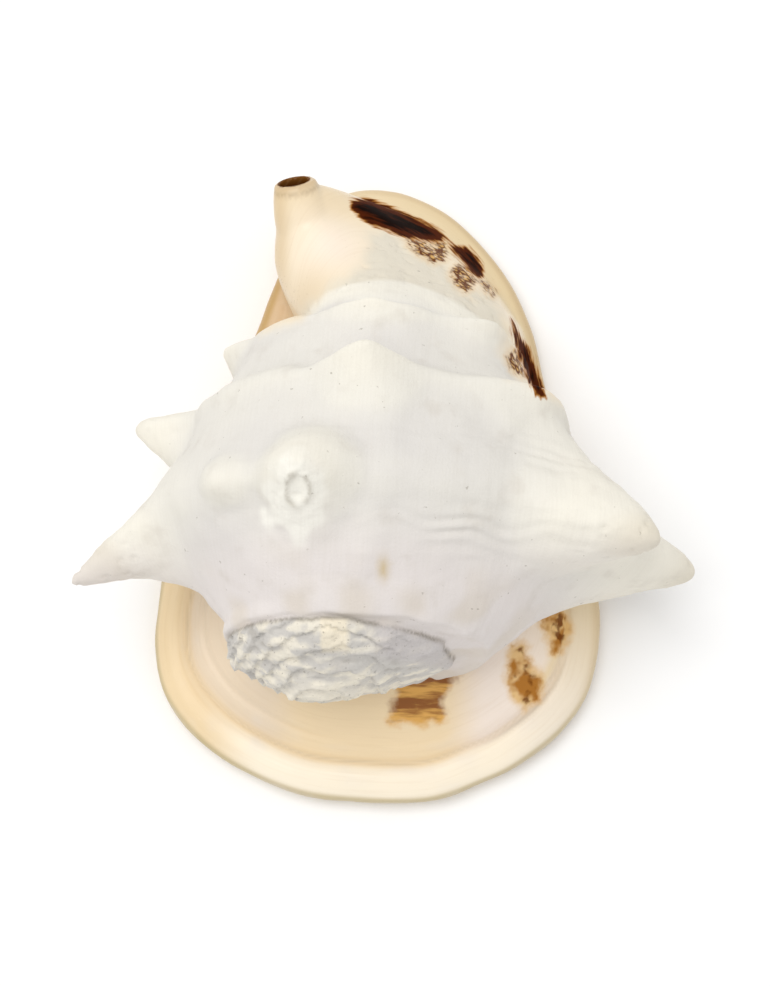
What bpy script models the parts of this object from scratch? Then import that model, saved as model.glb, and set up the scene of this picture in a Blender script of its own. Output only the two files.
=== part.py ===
"""A horned helmet shell, lying on the flat glossy side around its aperture.

Metres, +Z up. The front (siphonal) end points to +Y, the spire to -Y and the outer lip to +X.
The shell is one grown piece: a coiled body whorl with three rows of horns, a low worn spire, a thick
rolled shield and lip round the aperture, and an upturned siphonal canal. It is hollow: the slit of the
aperture opens into the last whorl, and the canal is the tube that leads out at the front.
"""
import bpy
import bmesh
import numpy as np
from math import cos, log, pi, radians, sin

MM = 0.001

# The coil. Each turn is WHORL_GROWTH times as wide as the turn before it.
WHORL_GROWTH = 1.42
GROWTH_RATE = log(WHORL_GROWTH) / (2 * pi)
AXIS_POINT = np.array([-7.5, -19, 58]) * MM
AXIS_LEAN = radians(4)
AXIS_TILT = radians(7)
APEX_HEIGHT = 51 * MM
HEIGHT_GROWTH = 0.15

# The body whorl along the dorsal line, from the suture to the front end: radius and height on the axis.
BODY_PROFILE = np.array([
    (38, 34), (44, 27.5), (53, 17.5), (61.5, 7.5), (66.5, -1), (66, -10), (63.5, -19), (60.5, -27.5),
    (58, -35.5), (52.5, -42), (48.5, -49), (46.5, -55), (43, -61), (33, -65), (25, -71.5), (17, -79),
    (9, -85), (4, -88.5), (0, -90)]) * MM
LAST = len(BODY_PROFILE) - 1
SHOULDER, SECOND_ROW, THIRD_ROW = 4 / LAST, 8 / LAST, 12 / LAST

# Rows that run round the whorl as low ridges: place along the profile, height in mm, half width.
SPIRAL_RIDGES = ((SHOULDER, 1.0, 0.06), (SECOND_ROW, 2.2, 0.022), (THIRD_ROW, 2.2, 0.02))

# Horns: angle from the dorsal line towards the lip (degrees), row, length (mm), half width round the
# whorl (degrees), half width to the front, half width to the rear, lean to the apex, sharpness,
# bluntness of the tip.
HORNS = (
    (-88, SHOULDER, 31.2, 24, 0.085, 0.13, 0.90, 2.0, 0.18),
    (-84, SHOULDER, 4, 36, 0.13, 0.12, 0.0, 1.0, 0.5),
    (-38, SHOULDER, 6, 11, 0.07, 0.06, 0.3, 1.3, 0.4),
    (-14, SHOULDER, 17, 17, 0.11, 0.12, 0.22, 1.5, 0.45),
    (62, SHOULDER, 30, 25, 0.20, 0.11, 0.30, 1.5, 0.45),
    (98, SHOULDER, 34, 27, 0.20, 0.12, 0.0, 1.8, 0.35),
    (-92, SECOND_ROW, 19, 18, 0.08, 0.12, 0.0, 1.5, 0.60),
    (-1, SECOND_ROW, 13, 20, 0.06, 0.16, -0.3, 1.5, 0.18),
    (50, SECOND_ROW, 7, 28, 0.06, 0.14, -0.3, 1.5, 0.25),
    (-85, THIRD_ROW, 7, 22, 0.05, 0.09, -0.1, 1.3, 0.45),
    (-1, THIRD_ROW, 6, 26, 0.05, 0.10, -0.3, 1.4, 0.2),
    (44, THIRD_ROW, 5, 22, 0.05, 0.09, -0.3, 1.4, 0.2),
)

# The spire: radius and depth under the apex of the ribbon that winds up to the apex.
SPIRE_TURNS = 5
SPIRE_GROWTH = log(1.5) / (2 * pi)
SPIRE_PROFILE = np.array([
    (19, 8.6), (24, 9.6), (28, 11.2), (31, 13.2), (33.5, 15.5), (36.5, 18.5), (39, 22), (36, 29)]) * MM
SPIRE_OFFSET = np.array([-2.5, 0, 0]) * MM
# The worn apex leans to the left of the axis by this much, and the lean ends at this depth.
SPIRE_LEAN, LEAN_DEPTH = np.array([-11, 0, 0]) * MM, 24 * MM
SPIRE_KNOBS = 11
SPIRE_KNOB_HEIGHT = 2 * MM
KNOB_PLACE, KNOB_HALF_WIDTH = 0.42, 0.15

# The rim of the lip and shield seen from above, clockwise from the canal.
RIM = np.array([
    (-14, 113), (2, 114), (16, 109), (28, 100), (41, 84), (50, 64), (54, 46), (57.5, 30), (65, 0),
    (70.5, -24), (71, -41), (67, -59), (58, -72), (44, -83), (32, -89), (14, -95), (-10, -95), (-30, -92),
    (-50, -83), (-64, -72), (-73, -59), (-76, -44), (-75, -28), (-69, 6), (-57, 33), (-45, 61), (-36, 85),
    (-29, 100)]) * MM
SHIELD_CENTRE = np.array([-3, 0]) * MM
# Sections of the shield, from its middle below, round the rim and back over the top: distance in from
# the rim and height (mm). At the rear the rim is a thick roll round a dish; at the front the lip slopes
# straight up from a thin edge.
REAR_SECTION = (
    (999, 0), (14, 0), (8, 0.3), (3.5, 1.5), (0.8, 4), (0, 7), (1.2, 10), (4, 12), (8, 12.5), (12, 11.8),
    (16, 13.3), (24, 18), (34, 24), (46, 30), (999, 34))
LIP_SECTION = (
    (999, 0), (14, 0), (8, 0.3), (3.5, 1.3), (0.8, 3.5), (0, 6), (0.6, 8.5), (2.4, 10.5), (5.5, 13),
    (9.5, 17), (14, 22.5), (21, 30), (30, 38), (42, 46), (999, 52))
LIP_BEARING = radians(33)
# How the section turns into the lip's: the cosine of the bearing from the lip where it is half way, and
# how fast it turns there.
LIP_HALF_WAY, LIP_TURN_RATE = 0.45, 1.1

# The front fold, which carries the canal: for each place along Y, the section's points (x, z).
FRONT_FOLD = (
    (38, ((-17, 3), (-18, 54), (-3, 86), (22, 76), (37, 45), (42, 4))),
    (57, ((-24, 3), (-26, 46), (-8, 72), (20, 64), (40, 41), (49, 5))),
    (69, ((-29, 3), (-32, 38), (-14, 60), (13, 52), (34, 34), (45, 6))),
    (81, ((-33, 3), (-36, 35), (-21, 51), (4, 44), (25, 29), (39, 6))),
    (91, ((-30, 3), (-36, 37), (-27, 49), (-7, 40), (13, 26), (30, 6))),
    (98, ((-27, 3), (-36, 40), (-30, 51), (-13, 43), (4, 26), (22, 6))),
    (104, ((-24, 3), (-33.5, 38), (-29, 46.5), (-18, 41), (-4, 25), (12, 6))),
    (107.5, ((-20, 3), (-26, 21), (-24, 27), (-18, 24), (-8, 14), (2, 5))))

# The canal's tube and its bore: centre line and radius (mm), from inside the shell to the tip.
CANAL_TUBE = ((-22, 84, 28, 12), (-25, 90, 36, 10.8), (-28, 96.5, 43.5, 9), (-29.5, 103.5, 48.5, 7))
CANAL_BORE = ((4, 64, 6, 5), (-8, 76, 11, 5), (-19, 86, 22, 5), (-26, 93, 36, 5), (-29, 100, 46, 5.3),
              (-30.5, 108, 51, 5.6))

# The aperture: centre line and half width at the floor (mm), from the front to the back.
APERTURE = ((-8, 78, 4), (1, 64, 5.5), (9, 44, 7), (15, 20, 8), (19, -6, 8), (21, -28, 7.5), (20, -44, 6.5),
            (17, -54, 5.5))
# Its walls: height, lean to the lip, half width as a share of the centre's, and how much further the
# flare reaches on the lip's side and on the columella's.
APERTURE_WALLS = ((-4, 0, 1.2, 12, 30), (0, 0, 1.2, 6, 19), (1.5, 0, 1.2, 3.5, 12), (4, 0.5, 1.1, 1.2, 5),
                  (8, 2, 1, 0, 1), (14, 6, 0.95, 0, 0), (21, 12, 1, 0, 0), (27, 19, 0.6, 0, 0))
LIP_TEETH = 7
LIP_TOOTH_LENGTH = 3.5 * MM
COLUMELLA_FOLDS = 10
COLUMELLA_FOLD_HEIGHT = 2 * MM
# The height at which the teeth and folds stand out most, and the reach above and below it (mm).
TEETH_HEIGHT, TEETH_REACH = 6, 9
# The slit's ends move out by this share of the columella's flare.
END_FLARE = 0.004

# The chamber of the last whorl: its range round the axis, its place along the profile, and its depth.
CHAMBER_FROM, CHAMBER_TO = radians(-130), radians(150)
CHAMBER_MIDDLE, CHAMBER_HALF = 0.40, 0.26
WALL = 6 * MM
CHAMBER_DEPTH = 14 * MM
# The share of its length over which the chamber narrows to its inner end.
CHAMBER_TAPER = 0.25

BODY_FLOOR = 3 * MM
FUSE_VOXEL = 2 * MM
CUTTER_VOXEL = 1.5 * MM
FOOT_GRIND = 0.3 * MM
TRIANGLES = 9000
SHELL_WHITE = (0.80, 0.77, 0.72, 1)


def remove_everything():
    for thing in list(bpy.data.objects):
        bpy.data.objects.remove(thing, do_unlink=True)


def new_collection(name):
    group = bpy.data.collections.new(name)
    bpy.context.scene.collection.children.link(group)
    return group


def through(points, t):
    """A smooth open curve through the points, t from 0 to 1 (Catmull-Rom: cubics that share tangents)."""
    points = np.asarray(points, float)
    last = len(points) - 1
    x = np.clip(t, 0, 1) * last
    i = np.minimum(x.astype(int), last - 1)
    return cubic(points[np.maximum(i - 1, 0)], points[i], points[i + 1], points[np.minimum(i + 2, last)],
                 (x - i)[..., None])


def through_closed(points, t):
    """A smooth closed curve through the points, t from 0 to 1."""
    count = len(points)
    x = (t % 1) * count
    i = x.astype(int) % count
    return cubic(points[i - 1], points[i], points[(i + 1) % count], points[(i + 2) % count],
                 (x - np.floor(x))[..., None])


def cubic(p0, p1, p2, p3, f):
    return 0.5 * (2 * p1 + (p2 - p0) * f + (2 * p0 - 5 * p1 + 4 * p2 - p3) * f ** 2
                  + (3 * p1 - p0 - 3 * p2 + p3) * f ** 3)


# The coil's own directions: towards the apex, up from the axis, and across to the lip.
TO_APEX = np.array([-sin(AXIS_LEAN) * cos(AXIS_TILT), -cos(AXIS_LEAN) * cos(AXIS_TILT), sin(AXIS_TILT)])
DORSAL = np.array([0, 0, 1]) - TO_APEX * TO_APEX[2]
DORSAL /= np.linalg.norm(DORSAL)
TO_LIP = np.cross(DORSAL, TO_APEX)


def on_coil(angle, radius, height):
    """The point at an angle, radius and height on the coil's axis."""
    outwards = np.cos(angle)[..., None] * DORSAL + np.sin(angle)[..., None] * TO_LIP
    return AXIS_POINT + height[..., None] * TO_APEX + radius[..., None] * outwards


def whorl_surface(angle, s, inset=0.0):
    """The body whorl without its horns: the profile at s, grown with the angle, and moved in by inset."""
    radius, height = np.moveaxis(through(BODY_PROFILE, s), -1, 0)
    for place, ridge, half_width in SPIRAL_RIDGES:
        radius = radius + ridge * MM * np.exp(-((s - place) / half_width) ** 2)
    radius = np.exp(GROWTH_RATE * angle) * radius - inset
    height = APEX_HEIGHT + np.exp(HEIGHT_GROWTH * GROWTH_RATE * angle) * (height - APEX_HEIGHT)
    return on_coil(angle, np.maximum(radius, 0), height)


def horn_offset(angle, s, horn):
    """One horn: a blunt peak round its place on the row, pushed out along the horn's own direction."""
    place, row, length, width, to_front, to_rear, lean, sharpness, bluntness = horn
    place = radians(place)
    turned = (angle - place + pi) % (2 * pi) - pi
    along = (s - row) / np.where(s > row, to_front, to_rear)
    distance = np.hypot(turned / radians(width), along)
    distance = (np.hypot(distance, bluntness) - bluntness) / (np.hypot(1, bluntness) - bluntness)
    direction = cos(place) * DORSAL + sin(place) * TO_LIP + lean * TO_APEX
    direction /= np.linalg.norm(direction)
    peak = np.clip(1 - distance, 0, None) ** sharpness
    return (length * MM * peak)[..., None] * direction


def loft(name, points, group):
    """A closed solid from a grid of points: rings along the first axis, capped at the second's ends."""
    around, along = points.shape[:2]
    number = np.arange(around * along).reshape(around, along)
    onward = np.roll(number, -1, axis=0)
    quads = np.stack([number[:, :-1], onward[:, :-1], onward[:, 1:], number[:, 1:]], -1).reshape(-1, 4)
    mesh = bpy.data.meshes.new(name)
    mesh.from_pydata(points.reshape(-1, 3).tolist(), [], quads.tolist())
    shape = bpy.data.objects.new(name, mesh)
    group.objects.link(shape)
    edit = bmesh.new()
    edit.from_mesh(mesh)
    bmesh.ops.holes_fill(edit, edges=[edge for edge in edit.edges if edge.is_boundary], sides=0)
    bmesh.ops.triangulate(edit, faces=[face for face in edit.faces if len(face.verts) > 4])
    bmesh.ops.recalc_face_normals(edit, faces=edit.faces)
    edit.to_mesh(mesh)
    edit.free()
    return shape


def grid(around, along, closed=True):
    u = np.arange(around) / (around if closed else around - 1)
    return np.meshgrid(u, np.linspace(0, 1, along), indexing="ij")


def body_whorl(group):
    u, s = grid(360, 220)
    angle = -pi + 2 * pi * u
    points = whorl_surface(angle, s)
    for horn in HORNS:
        points = points + horn_offset(angle, s, horn)
    points[..., 2] = np.maximum(points[..., 2], BODY_FLOOR)
    return loft("body_whorl", points, group)


def spire(group):
    """The earlier whorls: one closed solid for each turn of the ribbon."""
    turns = []
    for turn in range(SPIRE_TURNS):
        u, v = grid(240, 30)
        angle = pi - 2 * pi * (turn + u)
        growth = np.exp(SPIRE_GROWTH * angle)
        radius, depth = np.moveaxis(through(SPIRE_PROFILE, v), -1, 0)
        knob = np.exp(-((v - KNOB_PLACE) / KNOB_HALF_WIDTH) ** 2)
        knob *= np.clip(np.cos(SPIRE_KNOBS * angle), 0, 1) ** 2
        radius = growth * (radius + SPIRE_KNOB_HEIGHT * knob)
        lean = np.clip(1 - growth * depth / LEAN_DEPTH, 0, 1)
        points = on_coil(angle, radius, APEX_HEIGHT - growth * depth) + SPIRE_OFFSET
        points += lean[..., None] * SPIRE_LEAN
        turns.append(loft("spire_turn", points, group))
    return turns


def shield(group):
    """The lip and shield: the rear section carried round the rim, turning into the lip's at the front."""
    rim = through_closed(RIM, np.arange(400) / 400)
    rays = rim - SHIELD_CENTRE
    reach = np.linalg.norm(rays, axis=1)
    bearing = np.arctan2(rays[:, 1], rays[:, 0])
    lip_share = np.clip(0.5 + LIP_TURN_RATE * (np.cos(bearing - LIP_BEARING) - LIP_HALF_WAY), 0, 1)
    lip_share = lip_share ** 2 * (3 - 2 * lip_share)
    stations = []
    for (rear_in, rear_height), (lip_in, lip_height) in zip(REAR_SECTION, LIP_SECTION):
        inwards = rear_in + (lip_in - rear_in) * lip_share
        height = rear_height + (lip_height - rear_height) * lip_share
        share = np.clip(1 - inwards * MM / reach, 0.02, 1)
        plan = SHIELD_CENTRE + rays * share[:, None]
        stations.append(np.column_stack([plan, height * MM]))
    stations = np.stack(stations)
    fine = through(stations.reshape(len(stations), -1), np.linspace(0, 1, 90))
    points = fine.reshape(90, -1, 3).transpose(1, 0, 2)
    return loft("shield", points, group)


def front_fold(group):
    """The slope from the third row to the lip, drawn up at the left into the canal."""
    sections = np.array([[(x, y, z) for x, z in section] for y, section in FRONT_FOLD]) * MM
    along = through(sections.reshape(len(sections), -1), np.linspace(0, 1, 80)).reshape(80, -1, 3)
    around = through(along.transpose(1, 0, 2).reshape(sections.shape[1], -1), np.linspace(0, 1, 80))
    return loft("front_fold", around.reshape(80, 80, 3), group)


def tube(name, stations, group):
    """A tube on a curve through the stations, as a closed mesh."""
    curve = bpy.data.curves.new(name, "CURVE")
    curve.dimensions = "3D"
    curve.bevel_depth = 1
    curve.bevel_resolution = 6
    curve.use_fill_caps = True
    smooth = through(np.array(stations) * MM, np.linspace(0, 1, 24))
    spline = curve.splines.new("POLY")
    spline.points.add(len(smooth) - 1)
    for point, (x, y, z, radius) in zip(spline.points, smooth):
        point.co = (x, y, z, 1)
        point.radius = radius
    guide = bpy.data.objects.new(name, curve)
    group.objects.link(guide)
    bpy.context.view_layer.update()
    mesh = bpy.data.meshes.new_from_object(guide.evaluated_get(bpy.context.evaluated_depsgraph_get()))
    bpy.data.objects.remove(guide)
    edit = bmesh.new()
    edit.from_mesh(mesh)
    bmesh.ops.remove_doubles(edit, verts=edit.verts, dist=0.00001)
    bmesh.ops.recalc_face_normals(edit, faces=edit.faces)
    edit.to_mesh(mesh)
    edit.free()
    shape = bpy.data.objects.new(name, mesh)
    group.objects.link(shape)
    return shape


def aperture_slit(group):
    """The slit: a curtain between toothed walls, flared at the floor, that leans over into the chamber."""
    t = np.linspace(0, 1, 160)
    x, y, half_width = np.moveaxis(through(np.array(APERTURE) * MM, t), -1, 0)
    blunt = np.sqrt(1 - (2 * t - 1) ** 6)
    oval = np.sqrt(1 - (2 * t - 1) ** 2)
    teeth = blunt * np.clip(np.cos(2 * pi * LIP_TEETH * t), 0, 1) ** 0.8 * LIP_TOOTH_LENGTH
    folds = blunt * np.clip(np.cos(2 * pi * COLUMELLA_FOLDS * t), 0, 1) * COLUMELLA_FOLD_HEIGHT
    lip_side, columella_side = [], []
    for height, lean, width, lip_flare, columella_flare in APERTURE_WALLS:
        centre = x + lean * MM * oval
        half = np.maximum(half_width * width * blunt, 0.3 * MM)
        toothed = np.clip(1 - abs(height - TEETH_HEIGHT) / TEETH_REACH, 0, 1)
        to_lip = centre + half + lip_flare * MM * oval - toothed * teeth
        to_columella = centre - half - columella_flare * MM * oval + toothed * folds
        stretched = y + (y - y.mean()) * END_FLARE * columella_flare
        z = np.full(len(t), height * MM)
        lip_side.append(np.column_stack([to_lip, stretched, z]))
        columella_side.append(np.column_stack([to_columella, stretched, z]))
    ring = np.stack(lip_side + columella_side[::-1])
    return loft("aperture_slit", ring, group)


def chamber(group):
    """The last whorl's chamber: an oval section between the outer wall and the whorl before."""
    u, v = grid(48, 90)
    angle = CHAMBER_FROM + (CHAMBER_TO - CHAMBER_FROM) * v
    narrowing = np.sqrt(np.clip(v / CHAMBER_TAPER, 0.02, 1))
    s = CHAMBER_MIDDLE + CHAMBER_HALF * narrowing * np.cos(2 * pi * u)
    depth = CHAMBER_DEPTH * (0.5 + 0.5 * narrowing * np.sin(2 * pi * u))
    points = whorl_surface(angle, s, WALL + depth)
    return loft("chamber", points, group)


def joined(shapes):
    bpy.ops.object.select_all(action="DESELECT")
    for shape in shapes:
        shape.select_set(True)
    bpy.context.view_layer.objects.active = shapes[0]
    bpy.ops.object.join()
    return bpy.context.view_layer.objects.active


def settle(shape):
    """Apply the modifiers."""
    bpy.context.view_layer.update()
    mesh = bpy.data.meshes.new_from_object(shape.evaluated_get(bpy.context.evaluated_depsgraph_get()))
    shape.modifiers.clear()
    shape.data = mesh


def fused(shape, voxel, smoothing):
    """Melt overlapping solids into one skin, then ease the creases between them."""
    remesh = shape.modifiers.new("one_skin", "REMESH")
    remesh.mode = "VOXEL"
    remesh.voxel_size = voxel
    if smoothing:
        ease = shape.modifiers.new("eased", "SMOOTH")
        ease.factor = 0.5
        ease.iterations = smoothing
    settle(shape)


def cut_hollows(shape, cutter):
    hollow = shape.modifiers.new("hollows", "BOOLEAN")
    hollow.operation = "DIFFERENCE"
    hollow.solver = "EXACT"
    hollow.object = cutter
    settle(shape)


def thinned(shape, triangles):
    """Fewer triangles, kept where the surface bends most."""
    count = sum(len(face.vertices) - 2 for face in shape.data.polygons)
    thin = shape.modifiers.new("thinned", "DECIMATE")
    thin.ratio = triangles / count
    settle(shape)


def set_down(shape):
    """Grind the foot flat at z = 0 and centre the shell's box on the origin."""
    count = len(shape.data.vertices)
    points = np.empty(count * 3)
    shape.data.vertices.foreach_get("co", points)
    points = points.reshape(count, 3)
    low, high = points.min(0), points.max(0)
    shift = [-(low[0] + high[0]) / 2, -(low[1] + high[1]) / 2, -low[2]]
    points += shift
    points[points[:, 2] < FOOT_GRIND, 2] = 0
    shape.data.vertices.foreach_set("co", points.ravel())
    shape.data.update()


def shell_material():
    material = bpy.data.materials.new("worn_shell")
    material.use_nodes = True
    shader = material.node_tree.nodes["Principled BSDF"]
    shader.inputs["Base Color"].default_value = SHELL_WHITE
    shader.inputs["Roughness"].default_value = 0.45
    shader.inputs["Metallic"].default_value = 0
    return material


remove_everything()
parts = new_collection("helmet_shell")
cutters = new_collection("cutters")

solids = [body_whorl(parts), *spire(parts), shield(parts), front_fold(parts)]
solids.append(tube("canal_tube", CANAL_TUBE, parts))
shell = joined(solids)
fused(shell, FUSE_VOXEL, smoothing=4)

hollows = joined([chamber(cutters), aperture_slit(cutters), tube("canal_bore", CANAL_BORE, cutters)])
fused(hollows, CUTTER_VOXEL, smoothing=2)
hollows.name = "hollows"
hollows.hide_render = True
hollows.display_type = "WIRE"

cut_hollows(shell, hollows)
thinned(shell, TRIANGLES)
set_down(shell)

shell.name = "shell"
shell.data.name = "shell"
shell.data.materials.clear()
shell.data.materials.append(shell_material())
shell.data.shade_smooth()
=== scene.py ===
from math import cos, log, pi, radians, sin

import bmesh
import bpy
import numpy as np
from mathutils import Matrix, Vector


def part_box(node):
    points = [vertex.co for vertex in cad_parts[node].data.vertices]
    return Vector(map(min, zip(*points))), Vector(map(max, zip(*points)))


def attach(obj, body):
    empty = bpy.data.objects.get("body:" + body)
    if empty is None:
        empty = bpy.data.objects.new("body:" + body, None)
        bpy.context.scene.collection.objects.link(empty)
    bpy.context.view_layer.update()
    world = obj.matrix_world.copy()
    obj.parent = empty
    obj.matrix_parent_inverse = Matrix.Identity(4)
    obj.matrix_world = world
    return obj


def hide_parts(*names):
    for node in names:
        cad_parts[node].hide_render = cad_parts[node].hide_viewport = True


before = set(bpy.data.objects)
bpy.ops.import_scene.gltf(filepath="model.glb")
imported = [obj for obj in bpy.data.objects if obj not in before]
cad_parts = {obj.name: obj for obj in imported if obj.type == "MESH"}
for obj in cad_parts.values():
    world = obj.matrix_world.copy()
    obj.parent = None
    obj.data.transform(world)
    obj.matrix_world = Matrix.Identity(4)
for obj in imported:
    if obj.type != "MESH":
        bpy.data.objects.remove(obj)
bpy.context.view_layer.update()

MM = 0.001
WORK = bpy.context.scene.collection

# ---------------------------------------------------------------------------------------------
# The body whorl: the last and widest turn of the coil, a tube of aragonite that the animal laid down
# edge by edge while it turned about the axis. Three rows of horns run round it, each one a fold of
# the growing edge, and the years on the sea floor have worn its outside to a dull chalk.
# Its frame is the coil's: the front (siphonal) end at +Y, the spire at -Y, the lip at +X.
# ---------------------------------------------------------------------------------------------
WHORL_GROWTH = 1.42
GROWTH_RATE = log(WHORL_GROWTH) / (2 * pi)
AXIS_POINT = np.array([-7.5, -19, 58]) * MM
AXIS_LEAN = radians(4)
AXIS_TILT = radians(7)
APEX_HEIGHT = 51 * MM
HEIGHT_GROWTH = 0.15

TO_APEX = np.array([-sin(AXIS_LEAN) * cos(AXIS_TILT), -cos(AXIS_LEAN) * cos(AXIS_TILT), sin(AXIS_TILT)])
DORSAL = np.array([0, 0, 1]) - TO_APEX * TO_APEX[2]
DORSAL /= np.linalg.norm(DORSAL)
TO_LIP = np.cross(DORSAL, TO_APEX)

# Radius and height on the axis, along the dorsal line from the suture to the front end.
BODY_PROFILE = np.array([
    (38, 34), (44, 27.5), (53, 17.5), (61.5, 7.5), (66.5, -1), (66, -10), (63.5, -19), (60.5, -27.5),
    (58, -35.5), (52.5, -42), (48.5, -49), (46.5, -55), (43, -61), (33, -65), (25, -71.5), (17, -79),
    (9, -85), (4, -88.5), (0, -90)]) * MM
LAST = len(BODY_PROFILE) - 1
SHOULDER, SECOND_ROW, THIRD_ROW = 4 / LAST, 8 / LAST, 12 / LAST
# Low ridges that run round the whorl with the rows: place along the profile, height (mm), half width.
SPIRAL_RIDGES = ((SHOULDER, 1.0, 0.06), (SECOND_ROW, 2.2, 0.022), (THIRD_ROW, 2.2, 0.02))
# Horns: angle from the dorsal line towards the lip (degrees), row, length (mm), half width round the
# whorl (degrees), half width to the front, half width to the rear, lean to the apex, sharpness,
# bluntness of the tip.
HORNS = (
    (-88, SHOULDER, 30.6, 24, 0.085, 0.13, 0.90, 2.0, 0.18),
    (-84, SHOULDER, 4, 36, 0.13, 0.12, 0.0, 1.0, 0.5),
    (-38, SHOULDER, 6, 11, 0.07, 0.06, 0.3, 1.3, 0.4),
    (-14, SHOULDER, 17, 17, 0.11, 0.12, 0.22, 1.5, 0.45),
    (62, SHOULDER, 29.5, 25, 0.20, 0.11, 0.30, 1.5, 0.45),
    (98, SHOULDER, 33, 27, 0.20, 0.12, 0.0, 1.8, 0.35),
    (-92, SECOND_ROW, 19, 18, 0.08, 0.12, 0.0, 1.5, 0.60),
    (-1, SECOND_ROW, 13, 20, 0.06, 0.16, -0.3, 1.5, 0.18),
    (50, SECOND_ROW, 7, 28, 0.06, 0.14, -0.3, 1.5, 0.25),
    (-85, THIRD_ROW, 7, 22, 0.05, 0.09, -0.1, 1.3, 0.45),
    (-1, THIRD_ROW, 6, 26, 0.05, 0.10, -0.3, 1.4, 0.2),
    (44, THIRD_ROW, 5, 22, 0.05, 0.09, -0.3, 1.4, 0.2),
)
BODY_FLOOR = 3 * MM


def cubic(p0, p1, p2, p3, f):
    """The cubic between p1 and p2 whose slopes there are half the steps p0 to p2 and p1 to p3."""
    return 0.5 * (2 * p1 + (p2 - p0) * f + (2 * p0 - 5 * p1 + 4 * p2 - p3) * f ** 2
                  + (3 * p1 - p0 - 3 * p2 + p3) * f ** 3)


def through(points, t):
    """An open curve through the points, t from 0 to 1: one such cubic for each step."""
    points = np.asarray(points, float)
    last = len(points) - 1
    x = np.clip(t, 0, 1) * last
    i = np.minimum(x.astype(int), last - 1)
    return cubic(points[np.maximum(i - 1, 0)], points[i], points[i + 1], points[np.minimum(i + 2, last)],
                 (x - i)[..., None])


def on_coil(angle, radius, height):
    """Axis point + height along the axis + radius times the outward direction at the angle."""
    outwards = np.cos(angle)[..., None] * DORSAL + np.sin(angle)[..., None] * TO_LIP
    return AXIS_POINT + height[..., None] * TO_APEX + radius[..., None] * outwards


def whorl_surface(angle, s, inset=0.0):
    """The profile at s times e to the growth rate times the angle, with its spiral ridges, less inset."""
    radius, height = np.moveaxis(through(BODY_PROFILE, s), -1, 0)
    for place, ridge, half_width in SPIRAL_RIDGES:
        radius = radius + ridge * MM * np.exp(-((s - place) / half_width) ** 2)
    radius = np.exp(GROWTH_RATE * angle) * radius - inset
    height = APEX_HEIGHT + np.exp(HEIGHT_GROWTH * GROWTH_RATE * angle) * (height - APEX_HEIGHT)
    return on_coil(angle, np.maximum(radius, 0), height)


def horn_offset(angle, s, horn):
    """A peak of (1 - distance) to the sharpness, where distance is elliptical and blunted by a hyperbola."""
    place, row, length, width, to_front, to_rear, lean, sharpness, bluntness = horn
    place = radians(place)
    turned = (angle - place + pi) % (2 * pi) - pi
    along = (s - row) / np.where(s > row, to_front, to_rear)
    distance = np.hypot(turned / radians(width), along)
    distance = (np.hypot(distance, bluntness) - bluntness) / (np.hypot(1, bluntness) - bluntness)
    direction = cos(place) * DORSAL + sin(place) * TO_LIP + lean * TO_APEX
    direction /= np.linalg.norm(direction)
    peak = np.clip(1 - distance, 0, None) ** sharpness
    return (length * MM * peak)[..., None] * direction


def grid(around, along):
    """Two parameters on a grid: u goes round from 0 to just under 1, v goes along from 0 to 1."""
    return np.meshgrid(np.arange(around) / around, np.linspace(0, 1, along), indexing="ij")


def closed_solid(name, points):
    """A solid from a grid of points: closed rings along the first axis, capped at the second's two ends."""
    around, along = points.shape[:2]
    number = np.arange(around * along).reshape(around, along)
    onward = np.roll(number, -1, axis=0)
    quads = np.stack([number[:, :-1], onward[:, :-1], onward[:, 1:], number[:, 1:]], -1).reshape(-1, 4)
    mesh = bpy.data.meshes.new(name)
    mesh.from_pydata(points.reshape(-1, 3).tolist(), [], quads.tolist())
    shape = bpy.data.objects.new(name, mesh)
    WORK.objects.link(shape)
    edit = bmesh.new()
    edit.from_mesh(mesh)
    bmesh.ops.holes_fill(edit, edges=[edge for edge in edit.edges if edge.is_boundary], sides=0)
    bmesh.ops.triangulate(edit, faces=[face for face in edit.faces if len(face.verts) > 4])
    bmesh.ops.recalc_face_normals(edit, faces=edit.faces)
    edit.to_mesh(mesh)
    edit.free()
    return shape


u, s = grid(540, 330)
angle = -pi + 2 * pi * u
points = whorl_surface(angle, s)
for horn in HORNS:
    points = points + horn_offset(angle, s, horn)
points[..., 2] = np.maximum(points[..., 2], BODY_FLOOR)
solids = [closed_solid("body_whorl", points)]

# ---------------------------------------------------------------------------------------------
# The spire: the earlier and smaller turns, a low stepped cone round the apex. It is the oldest part of
# the shell, so it is the most worn: its knobs are stumps, and its layers come away in flakes.
# ---------------------------------------------------------------------------------------------
SPIRE_TURNS = 5
SPIRE_GROWTH = log(1.5) / (2 * pi)
# Radius and depth under the apex, across the ribbon that winds up to the apex.
SPIRE_PROFILE = np.array([
    (19, 8.6), (24, 9.6), (28, 11.2), (31, 13.2), (33.5, 15.5), (36.5, 18.5), (39, 22), (36, 29)]) * MM
SPIRE_KNOBS = 11
SPIRE_KNOB_HEIGHT = 2 * MM
SPIRE_OFFSET = np.array([-2.5, 0, 0]) * MM
# The worn apex leans to the left of the axis by this much, and the lean ends at this depth.
SPIRE_LEAN, LEAN_DEPTH = np.array([-11, 0, 0]) * MM, 24 * MM
KNOB_PLACE, KNOB_HALF_WIDTH = 0.42, 0.15

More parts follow.
